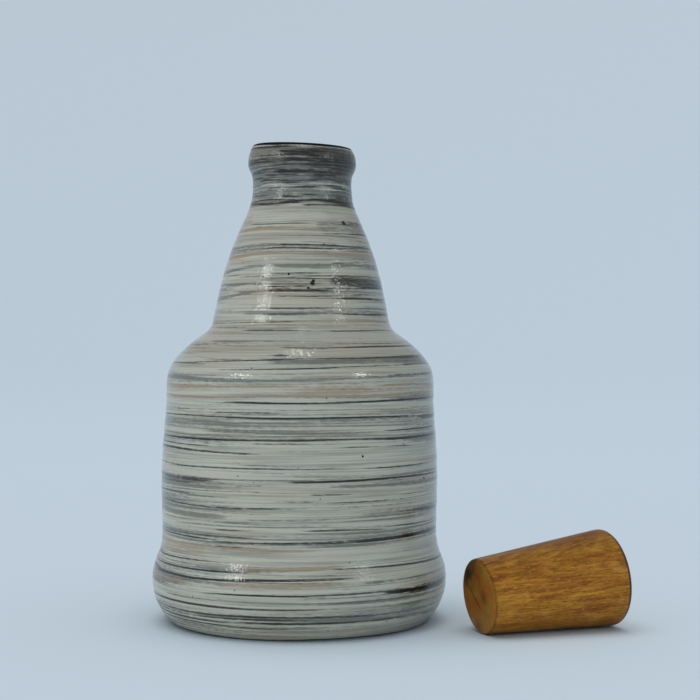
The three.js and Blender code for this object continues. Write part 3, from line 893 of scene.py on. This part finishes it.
# Turned hardwood under varnish: golden, with dark late wood and pores drawn out along the grain, pale flecks
# that are painted highlights, and a soft sheen. Its faces show end grain, with dark and orange patches and a
# check, and near each end the side is painted darker, at the wide end as painted shade on its rounded edge.
wood, tree = blank_material("varnished_turned_hardwood")
place = add(tree, "Attribute", attribute_name="billet").outputs["Vector"]


def drawn_out(across, along, seed):
    """Marks drawn out along the grain, of the given width and length, spread over 0 to 1."""
    scale = (1 / across, 1 / across, 1 / along)
    drawn = add(tree, "VectorMath", {0: place, 1: scale}, operation="MULTIPLY")
    noise = add(
        tree, "TexNoise", {"Vector": drawn, "W": seed, "Scale": 1, "Detail": 2}, noise_dimensions="4D"
    )
    return add(tree, "MapRange", {"Value": noise, "From Min": NOISE_SPREAD[0], "From Max": NOISE_SPREAD[1]})


figure = drawn_out(*FIGURE, 0)
from_pith = add(tree, "VectorMath", {0: place, 1: PITH}, operation="SUBTRACT")
run_out = add(tree, "VectorMath", {0: from_pith, 1: RUN_OUT}, operation="MULTIPLY")
reach = add(tree, "VectorMath", {0: run_out}, operation="LENGTH").outputs["Value"]
years = (YEAR[1] - YEAR[0]) / RING_SPACING
rings = add(tree, "Math", {0: reach, 1: years, 2: figure}, operation="MULTIPLY_ADD")
year = add(tree, "Math", {0: rings, 1: YEAR[1], 2: YEAR[0]}, operation="WRAP")
late_wood = add(
    tree, "MapRange",
    {"Value": year, "From Min": LATE_WOOD[0], "From Max": LATE_WOOD[1], "To Max": LATE_WOOD[2]},
    interpolation_type="SMOOTHSTEP",
)
colour = add(tree, "MixRGB", {"Fac": figure, "Color1": linear(WOOD_GOLD), "Color2": linear(WOOD_BROWN)})
colour = add(tree, "MixRGB", {"Fac": late_wood, "Color1": colour, "Color2": linear(WOOD_DARK)})
shares = {}
for seed, (name, across, along, low, high, most, tint) in enumerate(WOOD_MARKS, 1):
    marks = drawn_out(across, along, seed)
    shares[name] = add(tree, "MapRange", {"Value": marks, "From Min": low, "From Max": high, "To Max": most})
    colour = add(tree, "MixRGB", {"Fac": shares[name], "Color1": colour, "Color2": linear(tint)})

face_noise = add(tree, "TexNoise", {"Vector": place, "Scale": 1 / FACE_PATCH, "Detail": 1})
patches = add(tree, "MapRange", {
    "Value": face_noise, "From Min": PATCH_SPREAD[0], "From Max": PATCH_SPREAD[1],
})
face = add(tree, "MixRGB", {"Fac": patches, "Color1": linear(END_GOLD), "Color2": linear(END_ORANGE)})
end_pores = add(tree, "TexNoise", {"Vector": place, "Scale": 1 / END_PORE, "Detail": 2})
pitted = add(tree, "MapRange", {
    "Value": end_pores, "From Min": END_PORES[0], "From Max": END_PORES[1], "To Max": END_PORES[2],
})
for share in (late_wood, pitted):
    face = add(tree, "MixRGB", {"Fac": share, "Color1": face, "Color2": linear(WOOD_DARK)})
spots = [(END_DEEP_ORANGE, spot) for spot in ORANGE_PATCHES] + [(END_DARK, spot) for spot in DARK_PATCHES]
for tint, (middle, core, reached, most) in spots:
    apart = add(tree, "VectorMath", {0: place, 1: middle}, operation="DISTANCE").outputs["Value"]
    ragged = add(tree, "Math", {0: patches, 1: core, 2: apart}, operation="MULTIPLY_ADD")
    patch_share = add(tree, "MapRange", {
        "Value": ragged, "From Min": core, "From Max": reached, "To Min": most, "To Max": 0,
    })
    face = add(tree, "MixRGB", {"Fac": patch_share, "Color1": face, "Color2": linear(tint)})
from_check = add(tree, "VectorMath", {0: place, 1: CHECK_MIDDLE}, operation="SUBTRACT")
beside = add(tree, "VectorMath", {0: from_check, 1: CHECK_ACROSS}, operation="DOT_PRODUCT").outputs["Value"]
away = add(tree, "Math", {0: beside}, operation="ABSOLUTE")
crack = add(tree, "MapRange", {
    "Value": away, "From Max": CHECK_WIDTH / 2, "To Min": CHECK_SHARE, "To Max": 0,
})
out_along = add(tree, "VectorMath", {0: from_check}, operation="LENGTH").outputs["Value"]
within = add(tree, "MapRange", {
    "Value": out_along, "From Min": CHECK_TAPER * CHECK_LENGTH, "From Max": CHECK_LENGTH / 2,
    "To Min": 1, "To Max": 0,
})
check = add(tree, "Math", {0: crack, 1: within}, operation="MULTIPLY")
face = add(tree, "MixRGB", {"Fac": check, "Color1": face, "Color2": linear(END_DARK)})

height = add(tree, "SeparateXYZ", {0: place}).outputs["Z"]
from_wide = add(tree, "Math", {0: plug[-1, 1], 1: height}, operation="SUBTRACT")
to_end = add(tree, "Math", {0: height, 1: from_wide}, operation="MINIMUM")
on_face = add(tree, "MapRange", {
    "Value": to_end, "From Min": FACE_DEPTH[0], "From Max": FACE_DEPTH[1], "To Min": 1, "To Max": 0,
})
# Painted shade: the side darkens near each end, most of all at the wide end.
edge_shades = [
    add(tree, "MapRange", {"Value": inward, "From Min": low, "From Max": high, "To Min": most, "To Max": 0})
    for inward, (low, high, most) in ((height, EDGE_SHADES["narrow"]), (from_wide, EDGE_SHADES["wide"]))
]
edge_shade = add(tree, "Math", {0: edge_shades[0], 1: edge_shades[1]}, operation="MAXIMUM")
colour = add(tree, "MixRGB", {"Fac": edge_shade, "Color1": colour, "Color2": linear(EDGE_SHADE_BROWN)})
colour = add(tree, "MixRGB", {"Fac": on_face, "Color1": colour, "Color2": face})
grooves = add(tree, "Math", {0: shares["pore"], 1: -1, 2: shares["fibre"]}, operation="MULTIPLY_ADD")
surface = add(tree, "Bump", {"Height": grooves, "Strength": 0.3, "Distance": GRAIN_RELIEF})
gloss = add(tree, "MapRange", {"Value": figure, "To Min": VARNISH_SHINE[0], "To Max": VARNISH_SHINE[1]})
shader = add(tree, "BsdfPrincipled", {
    "Base Color": colour, "Roughness": gloss, "IOR": 1.5, "Specular IOR Level": 0.16, "Normal": surface,
})
add(tree, "OutputMaterial", {"Surface": shader})

stopper_mesh.materials.append(wood)
stopper = bpy.data.objects.new("varnished_stopper", stopper_mesh)
bpy.context.scene.collection.objects.link(stopper)
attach(stopper, "stopper")
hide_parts("stopper")

# Studio floor and sweep
# A round sweep of pale blue-grey card, flat under the bottle and curving up into a low wall all round it.
# It is matt and even, so that nothing but a soft shadow shows where the bottle and the stopper stand.

SWEEP = "#d5e4f0"
SWEEP_FLAT = 0.8
SWEEP_BEND = 0.6
SWEEP_LEAN = 32
SWEEP_SIDE = 1.6
SWEEP_AROUND = 96
FLOOR_RINGS = (0.1, 0.3, 0.5)
BEND_STEP = 4
FLOOR_CLEARANCE = 0.07 * MM
CARD_TOOTH = 2 * MM

bend = [
    (SWEEP_FLAT + SWEEP_BEND * math.sin(angle), SWEEP_BEND * (1 - math.cos(angle)))
    for angle in np.radians(np.arange(0, SWEEP_LEAN + 1, BEND_STEP))
]
lean = math.radians(SWEEP_LEAN)
side_top = (bend[-1][0] + SWEEP_SIDE * math.cos(lean), bend[-1][1] + SWEEP_SIDE * math.sin(lean))
sweep_line = [(radius, 0) for radius in FLOOR_RINGS] + bend + [side_top]
sweep_mesh = bmesh.new()
sweep_rings = [
    [
        sweep_mesh.verts.new((radius * math.cos(angle), radius * math.sin(angle), height - FLOOR_CLEARANCE))
        for angle in np.linspace(0, 2 * math.pi, SWEEP_AROUND, endpoint=False)
    ]
    for radius, height in sweep_line
]
sweep_mesh.faces.new(sweep_rings[0])
for inner, outer in zip(sweep_rings, sweep_rings[1:]):
    for step in range(SWEEP_AROUND):
        after = (step + 1) % SWEEP_AROUND
        sweep_mesh.faces.new((inner[after], inner[step], outer[step], outer[after]))
sweep_data = bpy.data.meshes.new("studio_sweep")
sweep_mesh.to_mesh(sweep_data)
sweep_mesh.free()
sweep_data.shade_smooth()

# Uncoated card: matt and even, with a tooth that hardly shows, so that it takes a soft shadow and no shine.
card, tree = blank_material("matt_pale_card")
place = add(tree, "TexCoord").outputs["Object"]
tooth = add(tree, "TexNoise", {"Vector": place, "Scale": 1 / CARD_TOOTH, "Detail": 2})
surface = add(tree, "Bump", {"Height": tooth, "Strength": 0.05, "Distance": 0.1 * MM})
shader = add(tree, "BsdfPrincipled", {
    "Base Color": linear(SWEEP), "Roughness": 0.95, "Specular IOR Level": 0.1, "Normal": surface,
})
add(tree, "OutputMaterial", {"Surface": shader})
sweep_data.materials.append(card)
sweep = bpy.data.objects.new("studio_sweep", sweep_data)
bpy.context.scene.collection.objects.link(sweep)

# Studio light
# Two wide soft keys light the bottle from the left and from the front. Two strips and a small overhead lamp
# make nothing but highlights. A lamp is its direction from the bottle, in degrees to the right of the front
# and up, its width and height in metres, and its power. A broad top light falls on the sweep alone.

LAMP_REACH = 0.9
AIM = Vector((0, 0, 120 * MM))
SOFT_KEYS = ("left_key", "front_key")
LAMPS = (
    ("left_key", -85, 8, 0.5, 0.5, 3.1),
    ("front_key", -6, 8, 0.5, 0.5, 4.2),
    ("left_strip", -52, 24, 0.05, 0.1, 0.82),
    ("right_strip", 56, 24, 0.03, 0.1, 0.37),
    ("overhead_lamp", 0, 83, 0.08, 0.024, 0.4),
)
TOP_LIGHT = 0.95
TOP_LIGHT_SPREAD = math.radians(50)
TOP_LIGHT_LEAN = math.radians(-7)
ROOM = "#fafbfb"
ROOM_LEVEL = 0.5


def lamp_holder(name, kind, energy, receivers):
    """A lamp that the camera doesn't see, lighting only what its collection lets it light."""
    lamp = bpy.data.lights.new(name, kind)
    lamp.energy = energy
    holder = bpy.data.objects.new(name, lamp)
    holder.visible_camera = False
    holder.light_linking.receiver_collection = receivers
    bpy.context.scene.collection.objects.link(holder)
    return holder


sweep_left_out = bpy.data.collections.new("sweep_left_out")
sweep_left_out.objects.link(sweep)
sweep_left_out.collection_objects[0].light_linking.link_state = "EXCLUDE"
sweep_alone = bpy.data.collections.new("sweep_alone")
sweep_alone.objects.link(sweep)
for name, bearing, elevation, width, height, power in LAMPS:
    holder = lamp_holder(name, "AREA", power, sweep_left_out)
    holder.data.shape = "RECTANGLE"
    holder.data.size = width
    holder.data.size_y = height
    right, up = math.radians(bearing), math.radians(elevation)
    direction = Vector((math.cos(up) * math.sin(right), -math.cos(up) * math.cos(right), math.sin(up)))
    holder.location = AIM + direction * LAMP_REACH
    holder.rotation_euler = direction.to_track_quat("Z", "Y").to_euler()
    holder.visible_diffuse = name in SOFT_KEYS
    holder.visible_glossy = not holder.visible_diffuse
top_light = lamp_holder("top_light", "SUN", TOP_LIGHT, sweep_alone)
top_light.data.angle = TOP_LIGHT_SPREAD
top_light.rotation_euler = (0, TOP_LIGHT_LEAN, 0)

room = bpy.data.worlds.new("bright_room")
room.use_nodes = True
tree = room.node_tree
tree.nodes.clear()
sky = add(tree, "Background", {"Color": linear(ROOM), "Strength": ROOM_LEVEL})
add(tree, "OutputWorld", {"Surface": sky})
bpy.context.scene.world = room

# Camera
# It stands level in front and a little to the right, at about three fifths of the bottle's height.
# The shift only brings the horizon to its row of the picture.

IMAGE_SIDE = 700
HORIZON_ROW = 346
CAMERA_PLACE = (20.95 * MM, -649.7 * MM, 113 * MM)
LENS = 80.3
SENSOR = 36

camera_data = bpy.data.cameras.new("camera")
camera_data.lens = LENS
camera_data.sensor_width = SENSOR
camera_data.shift_y = (HORIZON_ROW - IMAGE_SIDE / 2) / IMAGE_SIDE
camera = bpy.data.objects.new("camera", camera_data)
camera.location = CAMERA_PLACE
camera.rotation_euler = (math.radians(90), 0, 0)
bpy.context.scene.collection.objects.link(camera)
bpy.context.scene.camera = camera
bpy.context.scene.view_settings.view_transform = "Standard"
